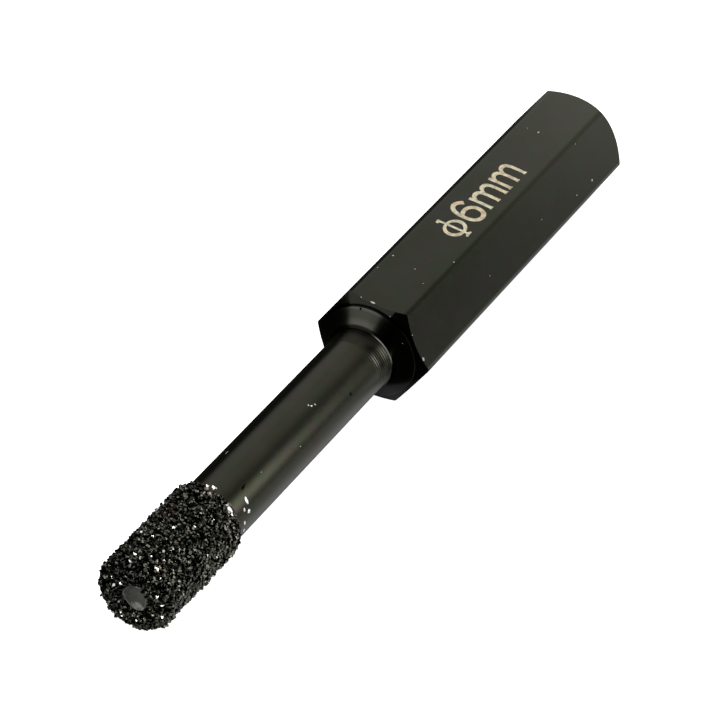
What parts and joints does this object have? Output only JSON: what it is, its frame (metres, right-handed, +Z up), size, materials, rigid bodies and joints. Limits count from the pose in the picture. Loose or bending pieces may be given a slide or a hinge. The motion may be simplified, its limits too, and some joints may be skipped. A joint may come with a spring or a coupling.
{
  "type": "diamond drill bit",
  "caption": "Diamond drill bit for dry drilling of tile and stone: hexagonal shank, turned round stem, grit crown brazed on the tip and a bore filled with cooling wax.",
  "frame": {"origin": "on the surface the bit lies on, under the middle of its length and of its width", "axes": "+X along the tool axis from the grit tip to the shank's end, +Z up, square to the flat the bit lies on, +Y across"},
  "size_m": [0.067, 0.0098, 0.0085],
  "materials": {
    "steel_body": "satin",
    "grit_crown": "rough brazed diamond grit",
    "wax_core": "satin"
  },
  "bodies": {
    "root": {"steel_body": "steel_body", "grit_crown": "grit_crown", "wax_core": "wax_core"}
  },
  "joints": []
}
